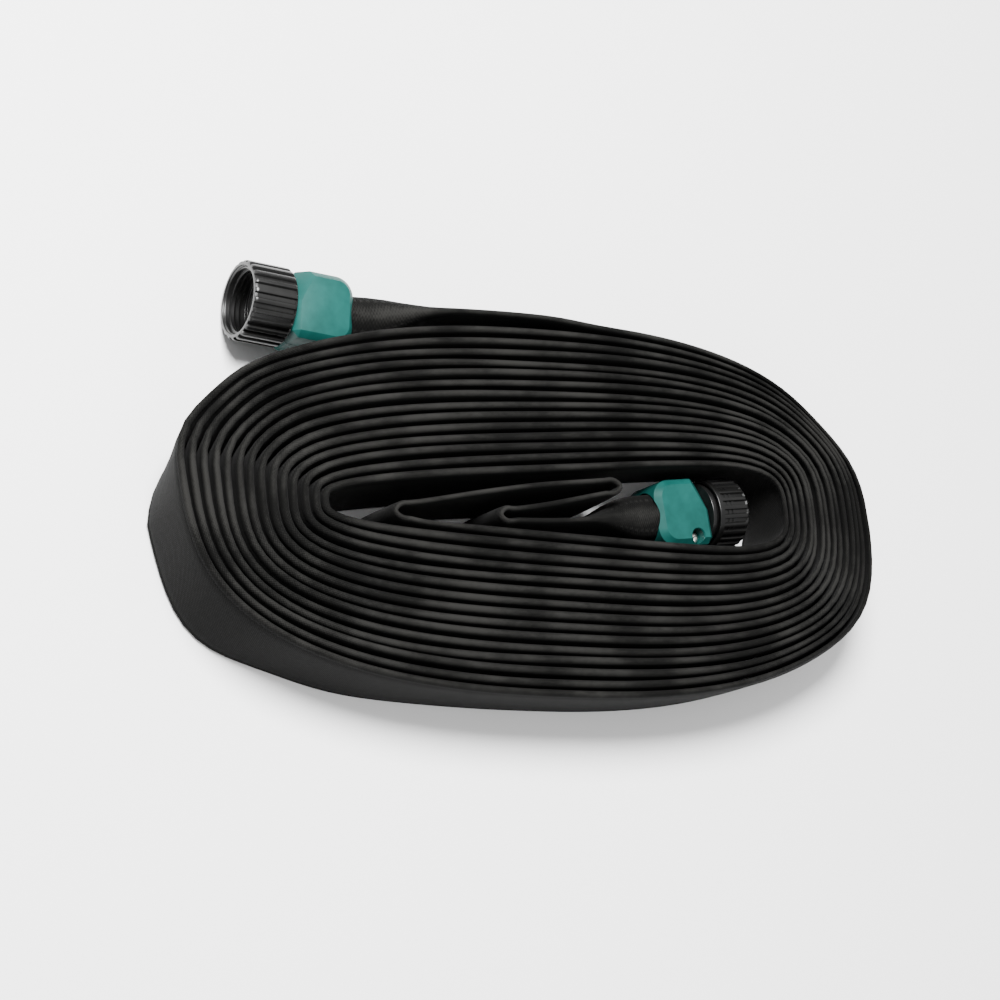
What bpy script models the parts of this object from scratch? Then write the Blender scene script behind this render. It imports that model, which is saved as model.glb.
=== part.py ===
"""Flat soaker hose wound on edge as an oval coil.

A gathered fabric hose end is clamped on each fitting. The inlet fitting carries a
ribbed swivel nut, and the outlet fitting carries a ribbed screw-on end cap.
Each fitting has its own frame, an empty: Z runs out of its open end, Y is up and
X is sideways. Lengths are in metres and +Z is up in the world.
"""
import math

import bmesh
import bpy
from mathutils import Matrix, Vector

MM = 0.001
GAP = 0.3 * MM

# Hose: two plies of fabric over a vinyl liner, lying flat and standing on edge.
HOSE_WIDTH = 38.0 * MM
HOSE_THICKNESS = 3.0 * MM
RUN_FLOOR = 0.2 * MM

# Coil: every turn is an oval between the innermost and the outermost one.
TURNS = 14.53
FIRST_ANGLE = math.radians(-112.0)
INNER = {"half_length": 110.3 * MM, "half_width": 13.6 * MM, "centre_x": 18.2 * MM,
         "centre_y": 3.0 * MM, "power": 3.6, "pear": 7.2 * MM, "tilt": math.radians(-0.7)}
OUTER = {"half_length": 166.8 * MM, "half_width": 79.8 * MM, "centre_x": 8.5 * MM,
         "centre_y": 1.1 * MM, "power": 2.4, "pear": 2.5 * MM, "tilt": math.radians(-2.5)}
POINTS_PER_TURN = 96

# The coil layout is moved by this much so that the whole stands on the origin.
LAYOUT_SHIFT = Vector((-9.784 * MM, -14.11 * MM, 0.0))

# Fittings, seen from above: where each clamp meets its nut or cap, and which way it opens.
INLET_PLACE = Vector((-96.1 * MM, 88.3 * MM, 16.9 * MM))
INLET_HEADING = math.radians(171.5)
OUTLET_PLACE = Vector((96.0 * MM, 2.4 * MM, 16.9 * MM))
OUTLET_HEADING = math.radians(3.2)

# Hose thread: 3/4 inch nominal with 11.5 threads per inch.
THREAD_PITCH = 25.4 / 11.5 * MM
MALE_ROOT = 12.45 * MM
MALE_CREST = 13.25 * MM
FEMALE_ROOT = 13.75 * MM
FEMALE_CREST = 12.8 * MM
RIDGE_ROOT_WIDTH = 1.1 * MM
RIDGE_CREST_WIDTH = 0.4 * MM
THREAD_STEPS = 24

# Stems
BORE = 5.5 * MM
NECK = 7.9 * MM
COLLAR = 9.8 * MM
COLLAR_BACK = -5.9 * MM
COLLAR_FRONT = -3.3 * MM
BARB = 8.0 * MM
BARB_ROOT = 7.4 * MM
BARB_COUNT = 3
BARB_START = -11.0 * MM
BARB_END = -25.4 * MM

# Swivel nut
NUT_RADIUS = 16.5 * MM
NUT_BACK = 0.6 * MM
NUT_FRONT = 20.1 * MM
NUT_WALL = 3.3 * MM
RIB_COUNT = 24
RIB_DEPTH = 1.0 * MM
FLANGE_RADIUS = 11.9 * MM
FLANGE_THICKNESS = 2.4 * MM
WASHER_RADIUS = 12.2 * MM
WASHER_HOLE = 7.2 * MM
WASHER_THICKNESS = 2.6 * MM
RESTRICTOR_THICKNESS = 1.4 * MM
RESTRICTOR_HOLE = 1.3 * MM
POCKET_ROOM = 0.6 * MM
NECK_ROOM = 0.35 * MM
MOUTH_CHAMFER = 0.5 * MM
THREAD_LEAD_IN = 1.2 * MM
THREAD_LEAD_OUT = 1.4 * MM
RIDGE_BITE = 0.4 * MM

# End cap
CAP_RADIUS = 15.0 * MM
CAP_BACK = 3.2 * MM
CAP_RIM = 1.8 * MM
CAP_FRONT = 18.9 * MM
CAP_END_WALL = 2.2 * MM
STEM_END = 13.6 * MM
CAP_WASHER_RADIUS = 12.5 * MM
STEM_RING_RADIUS = 13.6 * MM
STEM_RING_BACK = 0.4 * MM
STEM_RING_FRONT = 2.4 * MM
STEM_THREAD_START = 3.7 * MM
STEM_THREAD_RUN_OUT = 4.6 * MM
CAP_THREAD_RUN_OUT = 5.4 * MM
CAP_TURNS_OFF = 3.0

# Clamp shells
CLAMP_LENGTH = 27.0 * MM
CLAMP_HALF_WIDTH = 14.5 * MM
CLAMP_HALF_HEIGHT = 12.5 * MM
CLAMP_BEVEL = 2.6 * MM
CLAMP_END_RADIUS = 8.0 * MM
CLAMP_BORE = 11.0 * MM
FACET_CORNER = (-11.3 * MM, 13.1 * MM, -8.4 * MM)
FACET_LEAN = (-0.33, 0.65, 0.68)
CLAMP_NECK_HOLE = NECK + 0.6 * MM
CLAMP_GROOVE = COLLAR + 0.4 * MM
GRIP_START = -11.0 * MM
SCREW_X = 11.0 * MM
SCREW_Z = -8.6 * MM
SCREW_RADIUS = 1.25 * MM
SCREW_HEAD_RADIUS = 2.6 * MM
SCREW_HEAD_HEIGHT = 1.9 * MM
SCREW_SEAT = -6.2 * MM
SCREW_TIP = 8.2 * MM
RECESS_RADIUS = 3.2 * MM
SLOT_HALF_LENGTH = 1.6 * MM
SLOT_HALF_WIDTH = 0.35 * MM
SLOT_DEPTH = 0.9 * MM
SHANK_OVERLAP = 0.5 * MM

# Hose ends inside the clamps
SLEEVE_RADIUS = 10.7 * MM
SLEEVE_INNER = 9.6 * MM
SLEEVE_OUT = -31.0 * MM
LINER_RADIUS = 9.3 * MM
LINER_INNER = 8.3 * MM
LINER_OUT = -29.0 * MM
HOSE_END_START = -11.4 * MM

# Where the hose runs outside the coil, as points on its centre line seen from above.
INLET_RUN = [(-62.0, 83.4), (-40.0, 84.4), (-10.0, 84.2), (20.0, 82.8)]
CORE_RUN = [(62.0, 0.2), (52.0, -0.4), (38.0, -2.4), (20.0, -3.9), (2.0, -4.1), (-8.0, -3.9),
            (-12.4, -4.3), (-15.6, -1.5), (-12.4, 1.3), (-8.0, 0.9), (8.0, 2.7), (26.0, 5.7),
            (37.0, 7.6), (41.6, 7.7), (45.4, 10.6), (41.6, 13.5), (37.0, 13.2), (24.0, 12.4),
            (4.0, 11.0), (-20.0, 8.3), (-45.0, 4.8), (-57.0, 3.3), (-61.6, 3.1), (-65.2, 0.1),
            (-61.8, -2.9), (-57.2, -3.4)]
RUN_STEPS = 3

ROUND_STEPS = 36
ROOM = 0.5 * MM
FAR = 60.0 * MM
ON_AXIS = 0.0001 * MM


def clear_scene():
    for old in list(bpy.data.objects):
        bpy.data.objects.remove(old, do_unlink=True)


def collection(name):
    made = bpy.data.collections.new(name)
    bpy.context.scene.collection.children.link(made)
    return made


def material(name, colour, roughness, metallic=0.0):
    made = bpy.data.materials.new(name)
    made.use_nodes = True
    shader = made.node_tree.nodes["Principled BSDF"]
    shader.inputs["Base Color"].default_value = (*colour, 1.0)
    shader.inputs["Roughness"].default_value = roughness
    shader.inputs["Metallic"].default_value = metallic
    return made


clear_scene()
PARTS = collection("soaker_hose")
CUTTERS = collection("cutters")
FABRIC = material("hose_fabric", (0.035, 0.036, 0.034), 0.85)
VINYL = material("liner_vinyl", (0.05, 0.05, 0.05), 0.45)
BLACK_PLASTIC = material("black_plastic", (0.02, 0.02, 0.02), 0.3)
TEAL_PLASTIC = material("teal_plastic", (0.03, 0.22, 0.19), 0.4)
STEM_PLASTIC = material("stem_plastic", (0.03, 0.03, 0.03), 0.4)
RUBBER = material("washer_rubber", (0.05, 0.05, 0.05), 0.7)
SCREW_STEEL = material("screw_steel", (0.6, 0.6, 0.6), 0.3, 1.0)


def place(obj, parent, surface=None, cutter=False):
    """Put an object in its frame and its collection."""
    obj.parent = parent
    if cutter:
        CUTTERS.objects.link(obj)
        obj.hide_render = True
        obj.display_type = "WIRE"
    else:
        PARTS.objects.link(obj)
        obj.data.materials.append(surface)
    return obj


def frame(name, location, heading=None, roll=0.0):
    """An empty. With a heading, Z points that way along the ground and Y is up."""
    empty = bpy.data.objects.new(name, None)
    PARTS.objects.link(empty)
    place_matrix = Matrix.Translation(location)
    if heading is not None:
        out = Vector((math.cos(heading), math.sin(heading), 0.0))
        up = Vector((0.0, 0.0, 1.0))
        side = up.cross(out)
        turn = Matrix((side, up, out)).transposed().to_4x4()
        place_matrix = place_matrix @ turn @ Matrix.Rotation(roll, 4, "Z")
    empty.matrix_world = place_matrix
    return empty


def turned(name, profile, parent, surface=None, cutter=False, steps=ROUND_STEPS):
    """A closed (radius, height) profile turned about Z, listed down its outer side."""
    mesh = bpy.data.meshes.new(name)
    points = [(radius, 0.0, height) for radius, height in profile]
    edges = [(i, (i + 1) % len(points)) for i in range(len(points))]
    mesh.from_pydata(points, edges, [])
    obj = bpy.data.objects.new(name, mesh)
    screw = obj.modifiers.new("turn", "SCREW")
    screw.steps = steps
    screw.render_steps = steps
    screw.use_merge_vertices = True
    screw.merge_threshold = 0.00001
    return place(obj, parent, surface, cutter)


def tube_profile(inner, outer, bottom, top):
    return [(inner, top), (outer, top), (outer, bottom), (inner, bottom)]


def rod(name, radius, bottom, top, parent, surface=None, cutter=False, steps=ROUND_STEPS):
    """A cylinder along Z."""
    mesh = bpy.data.meshes.new(name)
    work = bmesh.new()
    middle = Matrix.Translation((0.0, 0.0, (bottom + top) / 2.0))
    bmesh.ops.create_cone(work, cap_ends=True, segments=steps, radius1=radius, radius2=radius,
                          depth=top - bottom, matrix=middle)
    work.to_mesh(mesh)
    work.free()
    return place(bpy.data.objects.new(name, mesh), parent, surface, cutter)


def box(name, low, high, parent, surface=None, cutter=False):
    """A box between two corners."""
    mesh = bpy.data.meshes.new(name)
    work = bmesh.new()
    low = Vector(low)
    high = Vector(high)
    size = high - low
    fit = Matrix.Translation((low + high) / 2.0) @ Matrix.Diagonal((*size, 1.0))
    bmesh.ops.create_cube(work, size=1.0, matrix=fit)
    work.to_mesh(mesh)
    work.free()
    return place(bpy.data.objects.new(name, mesh), parent, surface, cutter)


def outline_mesh(name, loops, low, high):
    """A flat outline, with holes if it has more than one loop, raised from low to high."""
    curve = bpy.data.curves.new(name, "CURVE")
    curve.dimensions = "2D"
    curve.fill_mode = "BOTH"
    curve.extrude = (high - low) / 2.0
    for loop in loops:
        spline = curve.splines.new("POLY")
        spline.points.add(len(loop) - 1)
        for point, (x, y) in zip(spline.points, loop):
            point.co = (x, y, 0.0, 1.0)
        spline.use_cyclic_u = True
    shape = bpy.data.objects.new(name, curve)
    bpy.context.scene.collection.objects.link(shape)
    bpy.context.view_layer.update()
    evaluated = shape.evaluated_get(bpy.context.evaluated_depsgraph_get())
    mesh = bpy.data.meshes.new_from_object(evaluated)
    bpy.data.objects.remove(shape)
    work = bmesh.new()
    work.from_mesh(mesh)
    bmesh.ops.remove_doubles(work, verts=work.verts, dist=0.00001)
    bmesh.ops.translate(work, verts=work.verts, vec=(0.0, 0.0, (low + high) / 2.0))
    bmesh.ops.recalc_face_normals(work, faces=work.faces)
    work.to_mesh(mesh)
    work.free()
    mesh.name = name
    return mesh


def outlined(name, loops, low, high, parent, surface=None, cutter=False):
    mesh = outline_mesh(name, loops, low, high)
    return place(bpy.data.objects.new(name, mesh), parent, surface, cutter)


def boolean(obj, tool, operation="DIFFERENCE"):
    step = obj.modifiers.new(operation.lower() + "_" + tool.name, "BOOLEAN")
    step.operation = operation
    step.object = tool
    step.solver = "EXACT"


def bevel(obj, width, segments=1, angle=30.0):
    step = obj.modifiers.new("bevel", "BEVEL")
    step.width = width
    step.segments = segments
    step.limit_method = "ANGLE"
    step.angle_limit = math.radians(angle)


def thread_ridge(name, root, crest, start, turns, parent):
    """One right-hand helical ridge along Z, closed at both ends."""
    work = bmesh.new()
    rings = []
    count = int(turns * THREAD_STEPS)
    for i in range(count + 1):
        angle = 2.0 * math.pi * i / THREAD_STEPS
        height = start + THREAD_PITCH * i / THREAD_STEPS
        lead = min(1.0, (i + 1) / 4.0, (count - i + 1) / 4.0)
        tip = root + (crest - root) * lead
        section = [(root, -RIDGE_ROOT_WIDTH / 2.0), (tip, -RIDGE_CREST_WIDTH / 2.0),
                   (tip, RIDGE_CREST_WIDTH / 2.0), (root, RIDGE_ROOT_WIDTH / 2.0)]
        ring = []
        for radius, rise in section:
            spot = (radius * math.cos(angle), radius * math.sin(angle), height + rise)
            ring.append(work.verts.new(spot))
        rings.append(ring)
    for near, far in zip(rings, rings[1:]):
        for k in range(4):
            work.faces.new((near[k], near[(k + 1) % 4], far[(k + 1) % 4], far[k]))
    work.faces.new(rings[0])
    work.faces.new(rings[-1][::-1])
    bmesh.ops.recalc_face_normals(work, faces=work.faces)
    mesh = bpy.data.meshes.new(name)
    work.to_mesh(mesh)
    work.free()
    return place(bpy.data.objects.new(name, mesh), parent, cutter=True)


def ribbed_outline(radius):
    """A circle with flat-topped grip ribs."""
    points = []
    step = 2.0 * math.pi / RIB_COUNT
    for i in range(RIB_COUNT):
        for part, depth in ((-0.30, 0.0), (0.0, 0.0), (0.30, 0.0), (0.38, RIB_DEPTH), (0.62, RIB_DEPTH)):
            angle = (i + part) * step
            reach = radius - depth
            points.append((reach * math.cos(angle), reach * math.sin(angle)))
    return points


def signed_power(value, power):
    return math.copysign(abs(value) ** (2.0 / power), value)


def coil_point(turn):
    """The coil's centre line, seen from above, at a number of turns from its inner end."""
    share = turn / TURNS
    size = {key: INNER[key] + (OUTER[key] - INNER[key]) * share for key in INNER}
    angle = FIRST_ANGLE + 2.0 * math.pi * turn
    along = signed_power(math.cos(angle), size["power"])
    across = signed_power(math.sin(angle), size["power"])
    x = size["half_length"] * along
    y = (size["half_width"] + size["pear"] * along) * across
    cos = math.cos(size["tilt"])
    sin = math.sin(size["tilt"])
    return Vector((size["centre_x"] + x * cos - y * sin, size["centre_y"] + x * sin + y * cos))


def offset_line(points, distance):
    """Points moved sideways, to the right of the way the line runs."""
    moved = []
    for i, point in enumerate(points):
        before = points[max(i - 1, 0)]
        after = points[min(i + 1, len(points) - 1)]
        way = (after - before).normalized()
        moved.append(point + Vector((way.y, -way.x)) * distance)
    return moved


def smooth_line(route, steps):
    """A Catmull-Rom curve through the route's points."""
    points = [Vector(p) for p in route]
    ends = [points[0] * 2.0 - points[1]] + points + [points[-1] * 2.0 - points[-2]]
    line = []
    for a, b, c, d in zip(ends, ends[1:], ends[2:], ends[3:]):
        for k in range(steps):
            t = k / steps
            even = 2.0 * b + (2.0 * a - 5.0 * b + 4.0 * c - d) * t * t
            odd = (c - a) * t + (3.0 * b - a - 3.0 * c + d) * t ** 3
            line.append((even + odd) / 2.0)
    line.append(points[-1])
    return line


def hose_strip(name, line, parent):
    """The flat hose standing on edge along a line seen from above."""
    left = offset_line(line, -HOSE_THICKNESS / 2.0)
    right = offset_line(line, HOSE_THICKNESS / 2.0)
    outline = right + left[::-1]
    return outlined(name, [outline], RUN_FLOOR, HOSE_WIDTH, parent, FABRIC)


def turn_side(first, distance):
    """One full turn of the coil's face, from a number of turns on."""
    line = [coil_point(first + i / POINTS_PER_TURN) for i in range(POINTS_PER_TURN + 1)]
    return offset_line(line, distance)


def make_coil(layout, clear_of):
    """The whole wound stretch as one ring, cut clear of both fittings."""
    outside = turn_side(TURNS - 1.0, HOSE_THICKNESS / 2.0)
    outside.append(turn_side(TURNS - 1.0, -HOSE_THICKNESS / 2.0)[-1])
    inside = turn_side(0.0, -HOSE_THICKNESS / 2.0)
    inside.append(turn_side(0.0, HOSE_THICKNESS / 2.0)[0])
    coil = outlined("hose_coil", [outside, inside], 0.0, HOSE_WIDTH, layout, FABRIC)
    for tool in clear_of:
        boolean(coil, tool)
    return coil


def make_runs(layout):
    """The stretch from the inlet to the coil, and the folded stretch inside the coil."""
    way_in = (coil_point(TURNS) - coil_point(TURNS - 0.01)).normalized()
    joint = coil_point(TURNS) + way_in * GAP
    inlet_route = [Vector(p) * MM for p in INLET_RUN] + [joint + way_in * 12.0 * MM, joint]
    hose_strip("hose_inlet_run", smooth_line(inlet_route, RUN_STEPS), layout)
    way_on = (coil_point(0.01) - coil_point(0.0)).normalized()
    joint = coil_point(0.0) - way_on * GAP
    core_route = [Vector(p) * MM for p in CORE_RUN] + [joint - way_on * 8.0 * MM, joint]
    hose_strip("hose_core_run", smooth_line(core_route, RUN_STEPS), layout)


def stem_tail_profile():
    """The barbed end of a stem, down its outer side."""
    pitch = (BARB_START - BARB_END) / BARB_COUNT
    points = [(NECK, COLLAR_FRONT), (COLLAR, COLLAR_FRONT), (COLLAR, COLLAR_BACK), (NECK, COLLAR_BACK)]
    points.append((NECK, BARB_START))
    for i in range(BARB_COUNT):
        top = BARB_START - pitch * i
        points += [(BARB_ROOT, top - 0.2 * MM), (BARB, top - pitch + 1.2 * MM)]
        points += [(BARB_ROOT, top - pitch + 0.1 * MM)]
    points.append((BORE, BARB_END))
    return points


def make_inlet(at):
    """Swivel nut, washer, restrictor and flanged stem."""
    flange_back = NUT_BACK + NUT_WALL + GAP
    flange_front = flange_back + FLANGE_THICKNESS
    head = [(BORE, flange_front), (FLANGE_RADIUS, flange_front), (FLANGE_RADIUS, flange_back),
            (NECK, flange_back)]
    turned("inlet_stem", head + stem_tail_profile(), at, STEM_PLASTIC)
    nut = outlined("swivel_nut", [ribbed_outline(NUT_RADIUS)], NUT_BACK, NUT_FRONT, at, BLACK_PLASTIC)
    washer_front = flange_front + GAP + WASHER_THICKNESS
    pocket = FLANGE_RADIUS + POCKET_ROOM
    mouth = FEMALE_ROOT + MOUTH_CHAMFER
    neck_hole = NECK + NECK_ROOM
    hollow = [(ON_AXIS, NUT_FRONT + MM), (mouth, NUT_FRONT + MM), (mouth, NUT_FRONT - MOUTH_CHAMFER),
              (FEMALE_ROOT, NUT_FRONT - 2.0 * MOUTH_CHAMFER), (FEMALE_ROOT, washer_front + RIDGE_BITE),
              (pocket, washer_front + RIDGE_BITE / 2.0), (pocket, NUT_BACK + NUT_WALL),
              (neck_hole, NUT_BACK + NUT_WALL), (neck_hole, NUT_BACK - MM), (ON_AXIS, NUT_BACK - MM)]
    boolean(nut, turned("nut_hollow", hollow, at, cutter=True))
    turns = (NUT_FRONT - washer_front - THREAD_LEAD_IN - THREAD_LEAD_OUT) / THREAD_PITCH
    ridge = thread_ridge("nut_thread", FEMALE_ROOT + RIDGE_BITE, FEMALE_CREST,
                         washer_front + THREAD_LEAD_IN, turns, at)
    boolean(nut, ridge, "UNION")
    turned("inlet_washer", tube_profile(WASHER_HOLE, WASHER_RADIUS, flange_front + GAP, washer_front),
           at, RUBBER)
    middle = (flange_front + GAP + washer_front) / 2.0
    turned("flow_restrictor", tube_profile(RESTRICTOR_HOLE, WASHER_HOLE - GAP,
                                           middle - RESTRICTOR_THICKNESS / 2.0,
                                           middle + RESTRICTOR_THICKNESS / 2.0), at, STEM_PLASTIC)


def make_outlet(at):
    """Threaded stem, cap washer and end cap."""
    flange = [(BORE, STEM_END), (MALE_ROOT, STEM_END), (MALE_ROOT, STEM_RING_FRONT),
              (STEM_RING_RADIUS, STEM_RING_FRONT), (STEM_RING_RADIUS, STEM_RING_BACK),
              (NECK, STEM_RING_BACK)]
    stem = turned("outlet_stem", flange + stem_tail_profile(), at, STEM_PLASTIC)
    turns = (STEM_END - STEM_THREAD_RUN_OUT) / THREAD_PITCH
    ridge = thread_ridge("outlet_thread", MALE_ROOT - RIDGE_BITE, MALE_CREST, STEM_THREAD_START, turns, at)
    boolean(stem, ridge, "UNION")
    cap = outlined("end_cap", [ribbed_outline(CAP_RADIUS)], CAP_BACK + CAP_RIM, CAP_FRONT, at,
                   BLACK_PLASTIC)
    rim = rod("cap_rim", CAP_RADIUS, CAP_BACK, CAP_BACK + CAP_RIM + RIDGE_BITE / 2.0, at, cutter=True)
    boolean(cap, rim, "UNION")
    hollow = rod("cap_hollow", FEMALE_ROOT, CAP_BACK - MM, CAP_FRONT - CAP_END_WALL, at, cutter=True)
    boolean(cap, hollow)
    female_start = STEM_THREAD_START + THREAD_PITCH / 2.0
    turns = (STEM_END - CAP_THREAD_RUN_OUT) / THREAD_PITCH
    ridge = thread_ridge("cap_thread", FEMALE_ROOT + RIDGE_BITE, FEMALE_CREST, female_start, turns, at)
    boolean(cap, ridge, "UNION")
    turned("cap_washer", tube_profile(WASHER_HOLE, CAP_WASHER_RADIUS, STEM_END + GAP,
                                      CAP_FRONT - CAP_END_WALL - GAP), at, RUBBER)


def clamp_outline():
    """The clamp seen from its flat face: square at the front, rounded at the hose."""
    half = CLAMP_HALF_WIDTH
    radius = CLAMP_END_RADIUS
    points = [(half, 0.0), (-half, 0.0)]
    for side in (-1.0, 1.0):
        for k in range(7):
            angle = math.radians(90.0 * k / 6.0)
            if side > 0.0:
                angle = math.radians(90.0) - angle
            x = side * (half - radius + radius * math.cos(angle))
            points.append((x, -CLAMP_LENGTH + radius - radius * math.sin(angle)))
    return points


def make_clamp(prefix, at):
    """Two shells over the stem and the gathered hose end, held by one screw."""
    bore = [(ON_AXIS, MM), (CLAMP_NECK_HOLE, MM), (CLAMP_NECK_HOLE, COLLAR_FRONT + GAP),
            (CLAMP_GROOVE, COLLAR_FRONT + GAP), (CLAMP_GROOVE, COLLAR_BACK - GAP),
            (CLAMP_NECK_HOLE, COLLAR_BACK - GAP), (CLAMP_NECK_HOLE, GRIP_START),
            (CLAMP_BORE, GRIP_START), (CLAMP_BORE, -CLAMP_LENGTH - MM), (ON_AXIS, -CLAMP_LENGTH - MM)]
    hollow = turned(prefix + "_clamp_hollow", bore, at, cutter=True)
    flat = Matrix.Rotation(math.radians(90.0), 4, "X")
    for side, half in ((1.0, "upper"), (-1.0, "lower")):
        mesh = outline_mesh(prefix + "_clamp_" + half, [clamp_outline()], -CLAMP_HALF_HEIGHT,
                            CLAMP_HALF_HEIGHT)
        mesh.transform(flat)
        shell = place(bpy.data.objects.new(mesh.name, mesh), at, TEAL_PLASTIC)
        bevel(shell, CLAMP_BEVEL)
        facet = box(mesh.name + "_facet", (-FAR, -FAR, 0.0), (FAR, FAR, FAR), at, cutter=True)
        lean = Vector((FACET_LEAN[0], FACET_LEAN[1] * side, FACET_LEAN[2])).normalized()
        corner = Vector((FACET_CORNER[0], FACET_CORNER[1] * side, FACET_CORNER[2]))
        facet.matrix_local = Matrix.Translation(corner) @ lean.to_track_quat("Z", "Y").to_matrix().to_4x4()
        boolean(shell, facet)
        other = box(mesh.name + "_split", (-FAR, -FAR, -FAR), (FAR, GAP / 2.0, FAR), at, cutter=True)
        if side < 0.0:
            other.matrix_local = Matrix.Rotation(math.pi, 4, "Z")
        boolean(shell, other)
        boolean(shell, hollow)
        hole = rod(mesh.name + "_screw_hole", SCREW_RADIUS + GAP, -FAR / 2.0, SCREW_TIP + ROOM, at,
                   cutter=True, steps=16)
        stand_screw(hole)
        boolean(shell, hole)
        if side < 0.0:
            recess = rod(mesh.name + "_recess", RECESS_RADIUS, -FAR / 2.0, SCREW_SEAT, at, cutter=True,
                         steps=24)
            stand_screw(recess)
            boolean(shell, recess)
    make_screw(prefix + "_clamp_screw", at)


def stand_screw(obj):
    """Turn something made along Z so that it stands on the screw's line, along Y."""
    obj.matrix_local = (Matrix.Translation((SCREW_X, 0.0, SCREW_Z))
                        @ Matrix.Rotation(math.radians(-90.0), 4, "X"))


def make_screw(name, at):
    """A cross-head screw driven up from the lower shell."""
    head_top = SCREW_SEAT - GAP
    head_face = head_top - SCREW_HEAD_HEIGHT
    screw = rod(name, SCREW_HEAD_RADIUS, head_face, head_top, at, SCREW_STEEL, steps=24)
    stand_screw(screw)
    shank = rod(name + "_shank", SCREW_RADIUS, head_top - SHANK_OVERLAP, SCREW_TIP, at, cutter=True, steps=16)
    stand_screw(shank)
    boolean(screw, shank, "UNION")
    for turn in (0.0, 90.0):
        slot = box(name + "_slot", (-SLOT_HALF_LENGTH, -SLOT_HALF_WIDTH, head_face - MM),
                   (SLOT_HALF_LENGTH, SLOT_HALF_WIDTH, head_face + SLOT_DEPTH), at, cutter=True)
        stand_screw(slot)
        slot.matrix_local = slot.matrix_local @ Matrix.Rotation(math.radians(turn), 4, "Z")
        boolean(screw, slot)


def make_hose_end(prefix, at):
    """The liner pushed over the barbs and the fabric gathered round it."""
    turned(prefix + "_liner_end", tube_profile(LINER_INNER, LINER_RADIUS, LINER_OUT, HOSE_END_START), at,
           VINYL)
    turned(prefix + "_sleeve_end", tube_profile(SLEEVE_INNER, SLEEVE_RADIUS, SLEEVE_OUT, HOSE_END_START),
           at, FABRIC)


def clearance(prefix, at, radius, front):
    """Cutters that keep the coil off a fitting and off what moves on it."""
    sleeve = rod(prefix + "_clearance", radius + ROOM, -ROOM, front, at, cutter=True)
    block = box(prefix + "_clamp_clearance",
                (-CLAMP_HALF_WIDTH - ROOM, -FAR, -CLAMP_LENGTH - 10.0 * ROOM),
                (CLAMP_HALF_WIDTH + ROOM, FAR, MM), at, cutter=True)
    return [sleeve, block]


def main():
    layout = frame("coil_layout", LAYOUT_SHIFT)
    inlet = frame("inlet_axis", LAYOUT_SHIFT + INLET_PLACE, INLET_HEADING)
    outlet = frame("outlet_axis", LAYOUT_SHIFT + OUTLET_PLACE, OUTLET_HEADING, math.pi)
    bpy.context.view_layer.update()
    make_inlet(inlet)
    make_clamp("inlet", inlet)
    make_hose_end("inlet", inlet)
    make_outlet(outlet)
    make_clamp("outlet", outlet)
    make_hose_end("outlet", outlet)
    cap_room = CAP_FRONT + CAP_TURNS_OFF * THREAD_PITCH + MM
    clear_of = clearance("inlet", inlet, NUT_RADIUS, NUT_FRONT + 4 * MM)
    clear_of += clearance("outlet", outlet, CAP_RADIUS, cap_room)
    make_coil(layout, clear_of)
    make_runs(layout)


main()
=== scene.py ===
"""Looks of the flat soaker hose: woven sleeve, moulded fittings, floor, light and camera."""

import math

import bmesh
import bpy
import numpy as np
from mathutils import Matrix, Vector


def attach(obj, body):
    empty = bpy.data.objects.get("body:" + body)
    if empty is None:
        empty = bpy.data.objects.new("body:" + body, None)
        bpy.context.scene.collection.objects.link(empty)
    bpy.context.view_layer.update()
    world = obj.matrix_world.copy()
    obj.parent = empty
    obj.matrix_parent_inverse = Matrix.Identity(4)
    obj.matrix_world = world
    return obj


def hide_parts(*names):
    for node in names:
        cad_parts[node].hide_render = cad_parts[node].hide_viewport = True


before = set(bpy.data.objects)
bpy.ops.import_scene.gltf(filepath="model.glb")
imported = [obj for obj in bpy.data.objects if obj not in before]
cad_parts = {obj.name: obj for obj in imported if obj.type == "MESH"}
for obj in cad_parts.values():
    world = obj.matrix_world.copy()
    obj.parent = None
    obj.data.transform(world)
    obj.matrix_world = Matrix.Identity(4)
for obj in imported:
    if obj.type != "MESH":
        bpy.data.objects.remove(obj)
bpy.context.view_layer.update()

MM = 0.001

# The hose's route, as part.py lays it out, and the fittings' places.
LAYOUT_SHIFT = np.array((-9.784, -14.11)) * MM
TURNS = 14.53
FIRST_ANGLE = math.radians(-112.0)
INNER = {"half_length": 110.3 * MM, "half_width": 13.6 * MM, "centre_x": 18.2 * MM,
         "centre_y": 3.0 * MM, "power": 3.6, "pear": 7.2 * MM, "tilt": math.radians(-0.7)}
OUTER = {"half_length": 166.8 * MM, "half_width": 79.8 * MM, "centre_x": 8.5 * MM,
         "centre_y": 1.1 * MM, "power": 2.4, "pear": 2.5 * MM, "tilt": math.radians(-2.5)}
INLET_RUN = [(-0.0620, 0.0834), (-0.0400, 0.0844), (-0.0100, 0.0842), (0.0200, 0.0828)]
CORE_RUN = [(0.0620, 0.0002), (0.0520, -0.0004), (0.0380, -0.0024), (0.0200, -0.0039),
            (0.0020, -0.0041), (-0.0080, -0.0039), (-0.0124, -0.0043), (-0.0156, -0.0015),
            (-0.0124, 0.0013), (-0.0080, 0.0009), (0.0080, 0.0027), (0.0260, 0.0057),
            (0.0370, 0.0076), (0.0416, 0.0077), (0.0454, 0.0106), (0.0416, 0.0135),
            (0.0370, 0.0132), (0.0240, 0.0124), (0.0040, 0.0110), (-0.0200, 0.0083),
            (-0.0450, 0.0048), (-0.0570, 0.0033), (-0.0616, 0.0031), (-0.0652, 0.0001),
            (-0.0618, -0.0029), (-0.0572, -0.0034)]
INLET_PLACE = (-0.0961, 0.0883, 0.0169)
INLET_HEADING = math.radians(171.5)
OUTLET_PLACE = (0.0960, 0.0024, 0.0169)
OUTLET_HEADING = math.radians(3.2)

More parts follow.
